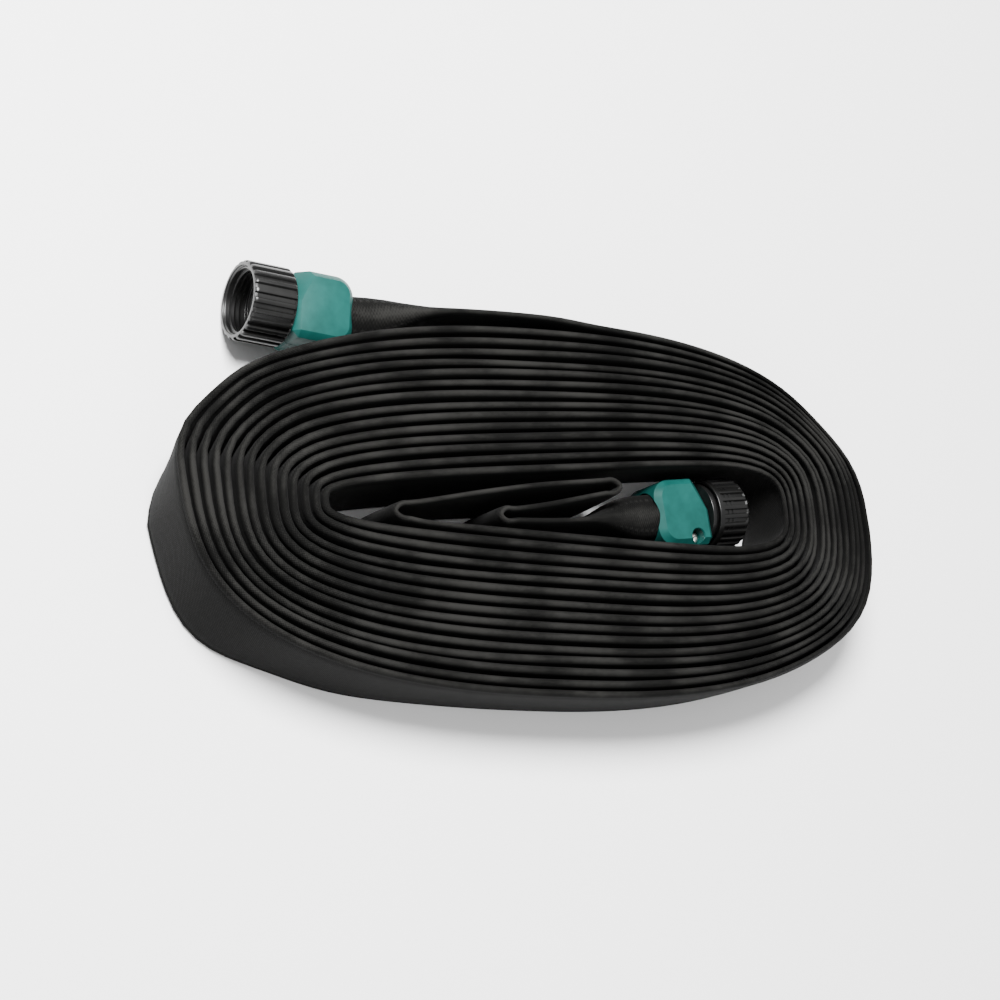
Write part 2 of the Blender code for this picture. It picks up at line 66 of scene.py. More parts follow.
HOSE_WIDTH = 38.0 * MM
PLY = 0.65 * MM
HALF_GIRTH = 39.0 * MM
SEAM_DEPTH = 2.9 * MM
GATHERED_RADIUS = 10.3 * MM
AXIS_HEIGHT = 16.9 * MM


def fitting(place, heading, roll=0.0):
    """A fitting's own frame: Z out of its open end, Y up."""
    out = Vector((math.cos(heading), math.sin(heading), 0.0))
    up = Vector((0.0, 0.0, 1.0))
    turn = Matrix((up.cross(out), up, out)).transposed().to_4x4()
    spot = Vector((place[0] + LAYOUT_SHIFT[0], place[1] + LAYOUT_SHIFT[1], place[2]))
    return Matrix.Translation(spot) @ turn @ Matrix.Rotation(roll, 4, "Z")


INLET = fitting(INLET_PLACE, INLET_HEADING)
OUTLET = fitting(OUTLET_PLACE, OUTLET_HEADING, math.pi)


# ---------------------------------------------------------------- materials

class Nodes:
    """Short calls for building one material's nodes."""

    def __init__(self, name):
        self.material = bpy.data.materials.new(name)
        self.material.use_nodes = True
        self.tree = self.material.node_tree
        self.shader = self.tree.nodes["Principled BSDF"]

    def add(self, kind, inputs=(), **settings):
        node = self.tree.nodes.new(kind)
        for key, value in settings.items():
            setattr(node, key, value)
        for key, value in dict(inputs).items():
            self.give(node.inputs[key], value)
        return node

    def give(self, socket, value):
        if isinstance(value, bpy.types.NodeSocket):
            self.tree.links.new(value, socket)
        else:
            socket.default_value = value

    def math(self, operation, first, second=0.0):
        node = self.add("ShaderNodeMath", operation=operation)
        self.give(node.inputs[0], first)
        self.give(node.inputs[1], second)
        return node.outputs[0]

    def noise(self, vector, scale, detail=3.0, roughness=0.5):
        node = self.add("ShaderNodeTexNoise",
                        {"Scale": scale, "Detail": detail, "Roughness": roughness})
        self.give(node.inputs["Vector"], vector)
        return node.outputs["Fac"]

    def ramp(self, factor, stops):
        node = self.add("ShaderNodeValToRGB")
        node.color_ramp.elements[0].position = stops[0][0]
        node.color_ramp.elements[0].color = (*stops[0][1], 1.0)
        node.color_ramp.elements[1].position = stops[-1][0]
        node.color_ramp.elements[1].color = (*stops[-1][1], 1.0)
        for position, colour in stops[1:-1]:
            node.color_ramp.elements.new(position).color = (*colour, 1.0)
        self.give(node.inputs["Fac"], factor)
        return node.outputs["Color"]

    def span(self, factor, low, high, start=0.0, end=1.0):
        node = self.add("ShaderNodeMapRange",
                        {"From Min": start, "From Max": end, "To Min": low, "To Max": high})
        self.give(node.inputs["Value"], factor)
        return node.outputs["Result"]

    def bump(self, height, strength, distance):
        node = self.add("ShaderNodeBump", {"Strength": strength, "Distance": distance})
        self.give(node.inputs["Height"], height)
        self.give(self.shader.inputs["Normal"], node.outputs["Normal"])

    def wave(self, value, length):
        return self.math("SINE", self.math("MULTIPLY", value, 2.0 * math.pi / length))

    def set(self, **values):
        for key, value in values.items():
            self.give(self.shader.inputs[key.replace("_", " ")], value)


WARP_PITCH = 1.3 * MM
WEFT_PITCH = 1.1 * MM
STITCH_PITCH = 3.2 * MM
# Painted highlight on the folds: a fold is palest within the first distance of its edge, and the
# paleness is gone at the second.
FOLD_HIGHLIGHT_BAND = (0.3 * MM, 2.4 * MM)
SEAM_BAND = (0.15 * MM, 0.45 * MM)


def woven_fabric(name, dark, middle, light):
    """Plain weave with a slight slub, from the sleeve's own length and girth in metres."""
    n = Nodes(name)
    where = n.add("ShaderNodeUVMap", uv_map="weave").outputs["UV"]
    parts = n.add("ShaderNodeSeparateXYZ")
    n.give(parts.inputs[0], where)
    along, round_it = parts.outputs["X"], parts.outputs["Y"]
    cross = n.math("MULTIPLY", n.wave(along, WARP_PITCH), n.wave(round_it, WEFT_PITCH))
    spot = n.add("ShaderNodeTexCoord").outputs["Object"]
    fuzz = n.noise(spot, 900.0, 4.0, 0.6)
    patch = n.noise(spot, 34.0, 3.0, 0.55)
    slub = n.add("ShaderNodeTexNoise", {"Scale": 1.0, "Detail": 2.0})
    stretched = n.add("ShaderNodeMapping", {"Scale": (60.0, 900.0, 1.0)})
    n.give(stretched.inputs["Vector"], where)
    n.give(slub.inputs["Vector"], stretched.outputs["Vector"])
    tone = n.math("ADD", n.math("MULTIPLY", cross, 0.10), n.math("MULTIPLY", fuzz, 0.45))
    tone = n.math("ADD", tone, n.math("MULTIPLY", patch, 0.35))
    tone = n.math("ADD", tone, n.math("MULTIPLY", slub.outputs["Fac"], 0.20))
    from_middle = n.math("ABSOLUTE", n.math("SUBTRACT", round_it, HALF_GIRTH))
    from_top = n.math("SUBTRACT", HALF_GIRTH, from_middle)
    from_fold = n.math("MINIMUM", from_top, n.math("SUBTRACT", HALF_GIRTH, from_top))
    # Painted highlight: the cloth is lighter, in patches, along both folds of the sleeve, standing
    # in for light catching the ridges.
    fold_highlight = n.math("MULTIPLY", n.span(from_fold, 0.34, 0.0, *FOLD_HIGHLIGHT_BAND),
                  n.span(patch, 0.4, 1.3, 0.35, 0.65))
    from_seam = n.math("ABSOLUTE", n.math("SUBTRACT", from_fold, SEAM_DEPTH))
    seam = n.span(from_seam, 1.0, 0.0, *SEAM_BAND)
    dash = n.wave(along, STITCH_PITCH)
    stitch = n.math("MULTIPLY", seam, n.span(dash, 0.0, 1.0, -0.2, 0.2))
    tone = n.math("ADD", n.math("ADD", tone, fold_highlight), n.math("MULTIPLY", stitch, 0.16))
    n.set(Base_Color=n.ramp(tone, [(0.28, dark), (0.60, middle), (0.95, light)]),
          Roughness=n.span(fuzz, 0.70, 0.90))
    n.shader.inputs["Sheen Weight"].default_value = 0.015
    n.shader.inputs["Sheen Roughness"].default_value = 0.5
    n.shader.inputs["Specular IOR Level"].default_value = 0.06
    threads = n.math("ADD", n.math("MULTIPLY", cross, 0.5), fuzz)
    height = n.math("ADD", threads, n.math("MULTIPLY", stitch, 1.5))
    n.bump(height, 0.55, 0.25 * MM)
    return n.material


def moulded(name, dark, light, rough, shine=0.40):
    """Moulded plastic with slight flow marks and worn, duller patches."""
    n = Nodes(name)
    spot = n.add("ShaderNodeTexCoord").outputs["Object"]
    cloud = n.noise(spot, 45.0, 3.0, 0.55)
    fine = n.noise(spot, 260.0, 3.0, 0.6)
    mixed = n.math("ADD", n.math("MULTIPLY", cloud, 0.7), n.math("MULTIPLY", fine, 0.3))
    n.set(Base_Color=n.ramp(mixed, [(0.35, dark), (0.65, light)]),
          Roughness=n.span(mixed, rough - 0.06, rough + 0.12))
    n.shader.inputs["Specular IOR Level"].default_value = shine
    n.bump(fine, 0.15, 0.08 * MM)
    return n.material


def rubber(name, dark, light):
    """Dull, finely grained rubber."""
    n = Nodes(name)
    spot = n.add("ShaderNodeTexCoord").outputs["Object"]
    fine = n.noise(spot, 420.0, 4.0, 0.6)
    n.set(Base_Color=n.ramp(fine, [(0.3, dark), (0.7, light)]), Roughness=n.span(fine, 0.55, 0.75))
    n.bump(fine, 0.25, 0.08 * MM)
    return n.material


def plated(name):
    """Bright plated steel, slightly uneven."""
    n = Nodes(name)
    spot = n.add("ShaderNodeTexCoord").outputs["Object"]
    fine = n.noise(spot, 600.0, 4.0, 0.6)
    n.set(Base_Color=n.ramp(fine, [(0.3, (0.52, 0.51, 0.48)), (0.7, (0.72, 0.71, 0.68))]),
          Roughness=n.span(fine, 0.22, 0.40))
    n.shader.inputs["Metallic"].default_value = 1.0
    n.bump(fine, 0.15, 0.05 * MM)
    return n.material


FABRIC = woven_fabric("sleeve_weave", (0.0002, 0.0002, 0.0002), (0.0018, 0.0018, 0.0016),
                      (0.0120, 0.0118, 0.0110))
BLACK = moulded("black_moulding", (0.0010, 0.0010, 0.0010), (0.0028, 0.0028, 0.0026), 0.34, 0.42)
STEM = moulded("stem_moulding", (0.002, 0.002, 0.002), (0.006, 0.006, 0.006), 0.30)
TEAL = moulded("teal_moulding", (0.0012, 0.036, 0.031), (0.0036, 0.057, 0.050), 0.44, 0.20)
RUBBER = rubber("washer_black", (0.003, 0.003, 0.003), (0.010, 0.010, 0.010))
LINER = moulded("liner_vinyl", (0.020, 0.020, 0.020), (0.036, 0.036, 0.036), 0.42)
STEEL = plated("screw_plating")


# ---------------------------------------------------------------- mesh helpers

# Points nearer than this after a lathe pass are one point.
WELD = 0.004 * MM


def finish_mesh(name, work, surface, body, matrix=None, angle=35.0):
    """Turns a bmesh into a piece with its normals out, its finish and its body."""
    bmesh.ops.recalc_face_normals(work, faces=work.faces)
    mesh = bpy.data.meshes.new(name)
    work.to_mesh(mesh)
    work.free()
    if matrix is not None:
        mesh.transform(matrix)
    piece = bpy.data.objects.new(name, mesh)
    bpy.context.scene.collection.objects.link(piece)
    mesh.materials.append(surface)
    mesh.shade_smooth()
    mesh.set_sharp_from_angle(angle=math.radians(angle))
    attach(piece, body)
    return piece


def eased(profile, radius, steps=3):
    """A closed profile with each corner rounded off."""
    points = [Vector(p[:2]) for p in profile]
    ribs = [p[2] if len(p) > 2 else 0.0 for p in profile]
    made = []
    for i, here in enumerate(points):
        before = points[i - 1] - here
        after = points[(i + 1) % len(points)] - here
        reach = min(radius, 0.45 * before.length, 0.45 * after.length)
        start = here + before.normalized() * reach
        end = here + after.normalized() * reach
        for k in range(steps + 1):
            t = k / steps
            spot = start * (1.0 - t) ** 2 + here * (2.0 * t * (1.0 - t)) + end * t ** 2
            made.append((spot.x, spot.y, ribs[i]))
    return made


def groove(phase):
    """How deep the gap between two grip ribs is: 0 on a rib, 1 in the gap."""
    away = abs(phase - 0.5)
    t = min(max((0.32 - away) / 0.12, 0.0), 1.0)
    return t * t * (3.0 - 2.0 * t)


def lathe(work, profile, steps=96, ribs=0, depth=0.0):
    """Turns a closed (radius, height, rib share) profile about Z."""
    rings = []
    for i in range(steps):
        angle = 2.0 * math.pi * i / steps
        cut = groove((i * ribs / steps) % 1.0) * depth if ribs else 0.0
        rings.append([work.verts.new(((r - cut * share) * math.cos(angle),
                                      (r - cut * share) * math.sin(angle), h))
                      for r, h, share in profile])
    count = len(profile)
    for i, ring in enumerate(rings):
        after = rings[(i + 1) % steps]
        for k in range(count):
            m = (k + 1) % count
            work.faces.new((ring[k], ring[m], after[m], after[k]))


def ridge(work, root, crest, start, turns, pitch, steps=48):
    """One helical thread ridge."""
    count = int(turns * steps)
    rings = []
    for i in range(count + 1):
        angle = 2.0 * math.pi * i / steps
        lead = min(1.0, (i + 1) / 10.0, (count - i + 1) / 10.0)
        tip = root + (crest - root) * lead
        height = start + pitch * i / steps
        section = [(root, -0.55), (tip, -0.22), (tip, 0.22), (root, 0.55)]
        rings.append([work.verts.new((r * math.cos(angle), r * math.sin(angle), height + z * MM))
                      for r, z in section])
    for near, far in zip(rings, rings[1:]):
        for k in range(4):
            work.faces.new((near[k], near[(k + 1) % 4], far[(k + 1) % 4], far[k]))
    work.faces.new(rings[0])
    work.faces.new(rings[-1][::-1])


def in_mm(profile):
    return [(p[0] * MM, p[1] * MM, p[2] if len(p) > 2 else 0.0) for p in profile]


# ---------------------------------------------------------------- the sleeve

def signed_power(value, power):
    """The rounding of a superellipse: power 2 is an ellipse, more is squarer."""
    return np.sign(value) * np.abs(value) ** (2.0 / power)


def coil_point(turn):
    """The coil's centre line at a number of turns from its inner end. Works on arrays."""
    turn = np.asarray(turn, float)
    share = turn / TURNS
    size = {key: INNER[key] + (OUTER[key] - INNER[key]) * share for key in INNER}
    angle = FIRST_ANGLE + 2.0 * math.pi * turn
    along = signed_power(np.cos(angle), size["power"])
    across = signed_power(np.sin(angle), size["power"])
    x = size["half_length"] * along
    y = (size["half_width"] + size["pear"] * along) * across
    cos, sin = np.cos(size["tilt"]), np.sin(size["tilt"])
    turned_x, turned_y = x * cos - y * sin, x * sin + y * cos
    return np.stack([size["centre_x"] + turned_x, size["centre_y"] + turned_y], -1) + LAYOUT_SHIFT


def through(points, steps=14):
    """A Catmull-Rom curve through points."""
    points = np.asarray(points, float)
    ends = np.vstack([2.0 * points[0] - points[1], points, 2.0 * points[-1] - points[-2]])
    line = []
    for a, b, c, d in zip(ends, ends[1:], ends[2:], ends[3:]):
        for k in range(steps):
            t = k / steps
            even = 2.0 * b + (2.0 * a - 5.0 * b + 4.0 * c - d) * t * t
            odd = (c - a) * t + (3.0 * b - a - 3.0 * c + d) * t ** 3
            line.append((even + odd) / 2.0)
    line.append(points[-1])
    return np.array(line)


def axis_points(place, heading, reaches):
    """Points on a fitting's axis, seen from above, at these distances in millimetres."""
    out = np.array((math.cos(heading), math.sin(heading)))
    return [np.array(place[:2]) + LAYOUT_SHIFT + out * u * MM for u in reaches]


def hose_route():
    """The whole hose from above, from clamp to clamp, and each point's turn.

    A point's turn is over TURNS on the inlet run and under 0 in the core."""
    way_in = coil_point(TURNS) - coil_point(TURNS - 0.01)
    way_in = way_in / np.linalg.norm(way_in)
    lead = axis_points(INLET_PLACE, INLET_HEADING, (-12.0, -18.0, -24.0, -29.0))
    lead += [np.array(p) + LAYOUT_SHIFT for p in INLET_RUN]
    lead += [coil_point(TURNS) + way_in * 12.0 * MM, coil_point(TURNS)]
    lead = through(lead)
    turns = np.linspace(TURNS, 0.0, int(TURNS * 900))
    coil = coil_point(turns)
    way_on = coil_point(0.01) - coil_point(0.0)
    way_on = way_on / np.linalg.norm(way_on)
    core = [coil_point(0.0), coil_point(0.0) - way_on * 8.0 * MM]
    core += [np.array(p) + LAYOUT_SHIFT for p in CORE_RUN[::-1]]
    core += axis_points(OUTLET_PLACE, OUTLET_HEADING, (-29.0, -24.0, -18.0, -12.0))
    core = through(core)
    line = np.vstack([lead[:-1], coil, core[1:]])
    before, after = np.full(len(lead) - 1, TURNS + 1.0), np.full(len(core) - 1, -1.0)
    turn = np.concatenate([before, turns, after])
    return line, turn


def lengths(line):
    return np.concatenate([[0.0], np.cumsum(np.linalg.norm(np.diff(line, axis=0), axis=1))])


FINE_STEP = 0.5 * MM
# The hose turns by about this angle from one section to the next, within these spacings.
SECTION_TURN = 0.22
SECTION_SPACING = (1.0 * MM, 6.5 * MM)


def even_route():
    """The route at points that are closer together where it bends more."""
    line, turn = hose_route()
    run = lengths(line)
    fine = np.arange(0.0, run[-1], FINE_STEP)
    line = np.stack([np.interp(fine, run, line[:, k]) for k in (0, 1)], -1)
    turn = np.interp(fine, run, turn)
    window = np.hanning(9)
    window /= window.sum()
    padded = [np.pad(line[:, k], 4, "reflect", reflect_type="odd") for k in (0, 1)]
    smooth = np.stack([np.convolve(one, window, "valid") for one in padded], -1)
    way = np.gradient(smooth, axis=0)
    heading = np.unwrap(np.arctan2(way[:, 1], way[:, 0]))
    bend = np.abs(np.gradient(heading)) / FINE_STEP
    bend = np.convolve(np.pad(bend, 6, "edge"), np.ones(13) / 13.0, "valid")
    step = np.clip(SECTION_TURN / np.maximum(bend, 1e-6), *SECTION_SPACING)
    cost = np.concatenate([[0.0], np.cumsum(FINE_STEP / step[1:])])
    picks = np.interp(np.linspace(0.0, cost[-1], int(cost[-1])), cost, fine)
    line = np.stack([np.interp(picks, fine, smooth[:, k]) for k in (0, 1)], -1)
    return line, np.interp(picks, fine, turn), picks


def ease(value, low, high):
    """Rises smoothly from 0 at low to 1 at high."""
    t = np.clip((value - low) / (high - low), 0.0, 1.0)
    return t * t * (3.0 - 2.0 * t)


def ripple(run, seed, longest):
    """A smooth, repeatable wobble between -1 and 1 along the hose."""
    return sum(share * np.sin(2.0 * math.pi * run / (longest * 0.618 ** k) + seed * (k + 1.7))
               for k, share in enumerate((0.5, 0.3, 0.2)))


# How far the sleeve stands in from each fold, and how full it is there.
# The dip between two fuller places is the line of stitching.
EDGE = [(0.0, 0.0), (0.35, 0.52), (1.0, 0.80), (1.9, 0.90), (2.7, 0.74), (3.5, 0.93),
        (6.5, 1.0), (12.0, 1.03)]
MIDDLE_FULLNESS = 1.05
# How far the outermost turn's base is tucked in, between these angles round the coil.
TUCK = 18.0 * MM
TUCK_START = (84.0, 120.0)
TUCK_END = 182.0
TUCK_FADE = 17.0
# The turns at the cap's end of the coil stand out by this, so that the cap has room to come off.
# The top edges of the turns lean back over it by the second measure.
CAP_ROOM = 3.8 * MM
CAP_OVERHANG = 2.6 * MM
CAP_SPREAD = 60.0
CAP_ROOM_TURNS = 30.0
# How far the outermost turn stands out of the plain spiral: angle, spread, and how far at its
# top and at its base in mm.
SWELLS = [(168.0, 12.0, 6.0, 6.0), (144.0, 14.0, 2.5, 0.0), (213.0, 15.0, 0.0, 8.0),
          (240.0, 14.0, 0.0, 3.0), (338.0, 15.0, 3.0, 3.0), (30.0, 14.0, -3.0, -3.0)]
# The sleeve's half thickness: a share of the distance between turns, within limits.
HALF_SHARE = 0.39
HALF_LIMITS = (0.85 * MM, 2.0 * MM)
CORE_HALF = 1.35 * MM
CORE_PITCH = 3.6 * MM
SWAY_SHARE = 0.10
TOP_DROP = 1.3 * MM
FLOOR_GAP = 0.2 * MM
SAG = 7.0 * MM
CORE_SAG_SHARE = 0.33
# Where the sleeve leaves a clamp, how soon it lies flat, and the soft bulge just outside.
CLAMP_MOUTH = 15.0 * MM
FLAT_AFTER = 46.0 * MM
BULGE = 1.0 * MM
PLEAT = 0.30 * MM


def section_levels():
    """Heights as shares of the width, from the top fold to the bottom one, and fullness at each."""
    width = HOSE_WIDTH / MM
    upper = [(1.0 - depth / width, full) for depth, full in EDGE]
    lower = [(depth / width, full) for depth, full in EDGE[::-1]]
    return upper + [(0.5, MIDDLE_FULLNESS)] + lower


def make_sleeve():
    line, turn, run = even_route()
    total = run[-1]
    way = np.gradient(line, axis=0)
    way /= np.linalg.norm(way, axis=1, keepdims=True)
    side = np.stack([way[:, 1], -way[:, 0]], -1)
    in_coil = (turn >= 0.0) & (turn <= TURNS)
    safe = np.clip(turn, 0.0, TURNS)
    apart = coil_point(safe - 1.0) - coil_point(safe + 1.0)
    pitch = np.abs(np.sum(apart * side, axis=1)) / 2.0
    pitch = np.where(in_coil, pitch, CORE_PITCH)
    pitch = np.convolve(np.pad(pitch, 3, "edge"), np.ones(7) / 7.0, "valid")
    angle = np.degrees(FIRST_ANGLE + 2.0 * math.pi * safe) % 360.0
    share = safe / TURNS
    wound = ease(TURNS - turn, -0.02, 0.10) * ease(turn, -0.02, 0.06)
    tuck = TUCK * np.clip((TUCK_END - angle) / TUCK_FADE, 0.0, 1.0) * ease(angle, *TUCK_START)
    tuck = tuck * share * in_coil
    swell_top = np.zeros_like(run)
    swell_base = np.zeros_like(run)
    for spot, spread, at_top, at_base in SWELLS:
        near = share ** 2 * np.exp(-((angle - spot) / spread) ** 2) * in_coil * MM
        swell_top += at_top * near
        swell_base += at_base * near
    place = line - LAYOUT_SHIFT
    upper_side = ease(place[:, 1], 0.0, 12.0 * MM)
    upper_side = upper_side * (1.0 - ease(place[:, 0], 30.0 * MM, 60.0 * MM))
    sag_coil = SAG * np.exp(-safe / 1.2) * upper_side
    sag_core = CORE_SAG_SHARE * np.clip(place[:, 1] + 4.0 * MM, 0.0, None) * upper_side
    sag = np.where(in_coil, sag_coil, np.where(turn < 0.0, sag_core, 0.0))
    from_right = (angle + 180.0) % 360.0 - 180.0
    near_cap = np.exp(-(from_right / CAP_SPREAD) ** 4) * np.exp(-safe / CAP_ROOM_TURNS) * in_coil
    nearest = np.minimum(run, total - run) - CLAMP_MOUTH
    flat = ease(nearest, 0.0, FLAT_AFTER)
    bulge = np.exp(-((nearest - 13.0 * MM) / (9.0 * MM)) ** 2)
    radius = GATHERED_RADIUS + BULGE * bulge
    half = np.clip(HALF_SHARE * pitch, *HALF_LIMITS) * (1.0 + 0.10 * ripple(run, 1.3, 0.71))
    half = CORE_HALF + (half - CORE_HALF) * wound
    sway = SWAY_SHARE * pitch * ripple(run, 4.1, 0.53) * wound
    top = HOSE_WIDTH - TOP_DROP * (1.0 + ripple(run, 2.6, 0.43)) * wound
    base = FLOOR_GAP
    middle = np.where(flat < 1.0, AXIS_HEIGHT, HOSE_WIDTH / 2.0)
    levels = section_levels()
    count = len(levels)

    def rings(inset, shrink):
        """Every section of one face of the cloth, moved in from the outside by inset."""
        made = np.zeros((len(run), 2 * (count - 1), 3))
        order = [(k, 1.0) for k in range(count)] + [(k, -1.0) for k in range(count - 2, 0, -1)]
        for j, (k, hand) in enumerate(order):
            height, full = levels[k]
            body = np.maximum(half - inset, 0.14 * MM) * full
            squeeze = 1.0 - np.clip(tuck * (1.0 - height) / TURNS / pitch, 0.0, 0.45)
            overhang = CAP_OVERHANG * ease(height, 0.84, 1.0)
            lean = tuck * (1.0 - height) ** 1.1 - near_cap * (CAP_ROOM - overhang)
            lean = lean - swell_top * height - swell_base * (1.0 - height)
            across = sway + lean + hand * body * squeeze
            rise = base + inset + (top - base - 2.0 * inset) * height
            turn_angle = math.pi * k / (count - 1)
            pleat = PLEAT * np.cos(7.0 * turn_angle * hand + 0.6) * (1.0 - flat)
            ring = radius - shrink + pleat
            round_across = hand * ring * math.sin(turn_angle)
            round_rise = middle + ring * math.cos(turn_angle)
            across = flat * across + (1.0 - flat) * round_across
            rise = flat * rise + (1.0 - flat) * round_rise
            made[:, j, :2] = line + side * across[:, None]
            made[:, j, 1] -= sag * (1.0 - height) * flat
            made[:, j, 2] = rise
        return made

    outside = rings(0.0, 0.0)
    inside = rings(PLY, 1.0 * MM)[:, ::2]
    work = bmesh.new()
    weave = work.loops.layers.uv.new("weave")
    out_rows = [[work.verts.new(p) for p in ring] for ring in outside]
    in_rows = [[work.verts.new(p) for p in ring] for ring in inside]

    def skin(rows, flip):
        """Joins the sections into one face of the cloth, with the weave's own measures on it."""
        around = len(rows[0])
        every = 2 * (count - 1) // around
        flat_side = [(HOSE_WIDTH * (1.0 - h), 1.4 * MM * f) for h, f in levels]
        flat_side += [(a, -b) for a, b in flat_side[-2::-1]]
        along = lengths(flat_side)
        girth = (along * 2.0 * HALF_GIRTH / along[-1])[::every]
        for i in range(len(rows) - 1):
            for j in range(around):
                m = (j + 1) % around
                corners = [(i, j, j), (i, m, j + 1), (i + 1, m, j + 1), (i + 1, j, j)]
                if flip:
                    corners = corners[::-1]
                face = work.faces.new([rows[a][b] for a, b, _ in corners])
                for loop, (a, _, v) in zip(face.loops, corners):
                    loop[weave].uv = (run[a], girth[v])

    skin(out_rows, False)
    skin(in_rows, True)
    for end in (0, -1):
        wide, narrow = out_rows[end], in_rows[end]
        for j in range(len(narrow)):
            m = (j + 1) % len(narrow)
            a, b, c = wide[2 * j], wide[2 * j + 1], wide[(2 * j + 2) % len(wide)]
            corners = (a, b, c, narrow[m], narrow[j])
            work.faces.new(corners if end else corners[::-1])
    piece = finish_mesh("hose_sleeve", work, FABRIC, "hose_body", angle=70.0)
    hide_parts("hose_coil", "hose_inlet_run", "hose_core_run",
                "inlet_sleeve_end", "outlet_sleeve_end")
    return piece, float(total)


sleeve, hose_length = make_sleeve()


# ---------------------------------------------------------------- fittings

THREAD_PITCH = 25.4 / 11.5 * MM
RIBS = 24
RIB_STEPS = 240
RIB_DEPTH = 1.15 * MM
# The barbed stem's (radius, height) corners in mm, from its neck to its end.
BARBS = [(7.9, -3.3), (9.8, -3.3), (9.8, -5.9), (7.9, -5.9), (7.9, -11.0),
         (7.4, -11.2), (8.0, -14.6), (7.4, -15.7), (7.4, -16.0), (8.0, -19.4), (7.4, -20.5),
         (7.4, -20.8), (8.0, -24.2), (7.4, -25.3), (5.5, -25.4)]


def turned_piece(name, node, profile, at, surface, body, round_off=0.35, threads=(),
                 ribs=0):
    """A turned piece that stands for a CAD node, with eased edges, grip ribs and thread."""
    work = bmesh.new()
    lathe(work, eased(in_mm(profile), round_off * MM), RIB_STEPS if ribs else 96, ribs, RIB_DEPTH)
    bmesh.ops.remove_doubles(work, verts=work.verts, dist=WELD)
    for root, crest, start, turns in threads:
        ridge(work, root * MM, crest * MM, start * MM, turns, THREAD_PITCH)
    piece = finish_mesh(name, work, surface, body, at)
    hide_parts(node)


def make_turned():
    """The nut, stems, cap, washers and liners. Profiles are (radius, height, rib share) in mm."""
    nut = [(15.5, 0.6), (16.5, 1.6, 1.0), (16.5, 18.8, 1.0), (16.1, 19.8, 0.9), (15.2, 20.1),
           (14.25, 20.1), (14.25, 19.6), (13.75, 19.1), (13.75, 9.9), (12.5, 9.7), (12.5, 3.9),
           (8.25, 3.9), (8.25, 0.6)]
    turned_piece("nut", "swivel_nut", nut, INLET, BLACK, "swivel",
                 threads=[(14.1, 12.8, 10.7, 3.6)], ribs=RIBS)
    inlet = [(5.5, 6.6), (11.9, 6.6), (11.9, 4.2), (7.9, 4.2)] + BARBS
    turned_piece("inlet_spigot", "inlet_stem", inlet, INLET, STEM, "hose_body")
    outlet = [(5.5, 13.6), (12.45, 13.6), (12.45, 2.4), (13.6, 2.4), (13.6, 0.4), (7.9, 0.4)]
    outlet += BARBS
    turned_piece("outlet_spigot", "outlet_stem", outlet, OUTLET, STEM, "hose_body",
                 threads=[(12.05, 13.25, 3.7, 4.0)])
    cap = [(0.001, 18.4), (11.2, 18.4), (12.0, 18.9), (13.9, 18.9), (15.0, 17.8, 1.0),
           (15.0, 5.7, 1.0), (15.0, 5.1), (15.0, 3.2), (13.75, 3.2), (13.75, 16.7), (0.001, 16.7)]
    turned_piece("cap_shell", "end_cap", cap, OUTLET, BLACK, "cap",
                 threads=[(14.15, 12.8, 4.8, 3.6)], ribs=RIBS)
    washer = (RUBBER, "swivel", "washer_rubber")
    disc = (STEM, "swivel", "stem_plastic")
    cap_washer = (RUBBER, "cap_seal", "washer_rubber")
    liner = (LINER, "hose_body", "liner_vinyl")
    rings = (("inlet_seal", "inlet_washer", INLET, (7.2, 12.2, 6.9, 9.5), washer),
             ("restrictor_disc", "flow_restrictor", INLET, (1.3, 6.9, 7.5, 8.9), disc),
             ("cap_seal_ring", "cap_washer", OUTLET, (7.2, 12.5, 13.9, 16.4), cap_washer),
             ("inlet_liner", "inlet_liner_end", INLET, (8.3, 9.3, -29.0, -11.4), liner),
             ("outlet_liner", "outlet_liner_end", OUTLET, (8.3, 9.3, -29.0, -11.4), liner))
    for name, node, at, (hole, reach, low, high), (surface, body, slot) in rings:
        tube = [(hole, high), (reach, high), (reach, low), (hole, low)]
        turned_piece(name, node, tube, at, surface, body, round_off=0.45)


def cutter(build, matrix=None):
    """A hidden solid for a boolean."""
    work = bmesh.new()
    build(work)
    bmesh.ops.recalc_face_normals(work, faces=work.faces)
    mesh = bpy.data.meshes.new("cutter")
    work.to_mesh(mesh)
    work.free()
    if matrix is not None:
        mesh.transform(matrix)
    made = bpy.data.objects.new("cutter", mesh)
    bpy.context.scene.collection.objects.link(made)
    return made


def block(low, high):
    """Builds a box between two corners, in millimetres."""
    def build(work):
        low_corner, high_corner = Vector(low) * MM, Vector(high) * MM
        size = high_corner - low_corner
        middle = Matrix.Translation((low_corner + high_corner) / 2.0)
        bmesh.ops.create_cube(work, size=1.0, matrix=middle @ Matrix.Diagonal((*size, 1.0)))
    return build


def solid(profile, steps=64):
    """Builds a turned solid from a profile in millimetres."""
    def build(work):
        lathe(work, in_mm(profile), steps)
        bmesh.ops.remove_doubles(work, verts=work.verts, dist=WELD)
    return build


def carve(mesh, steps):
    """Runs bevels and cuts on a mesh and gives back the result."""
    obj = bpy.data.objects.new("carved", mesh)
    bpy.context.scene.collection.objects.link(obj)
    for kind, value in steps:
        if kind == "bevel":
            width, segments, angle = value
            step = obj.modifiers.new("bevel", "BEVEL")
            step.width = width * MM
            step.segments = segments
            step.limit_method = "ANGLE"
            step.angle_limit = math.radians(angle)
        else:
            step = obj.modifiers.new("cut", "BOOLEAN")
            step.operation = "DIFFERENCE"
            step.object = value
            step.solver = "EXACT"
    bpy.context.view_layer.update()
    shown = obj.evaluated_get(bpy.context.evaluated_depsgraph_get())
    result = bpy.data.meshes.new_from_object(shown)
    for kind, value in steps:
        if kind == "cut":
            bpy.data.objects.remove(value)
    bpy.data.objects.remove(obj)
    return result


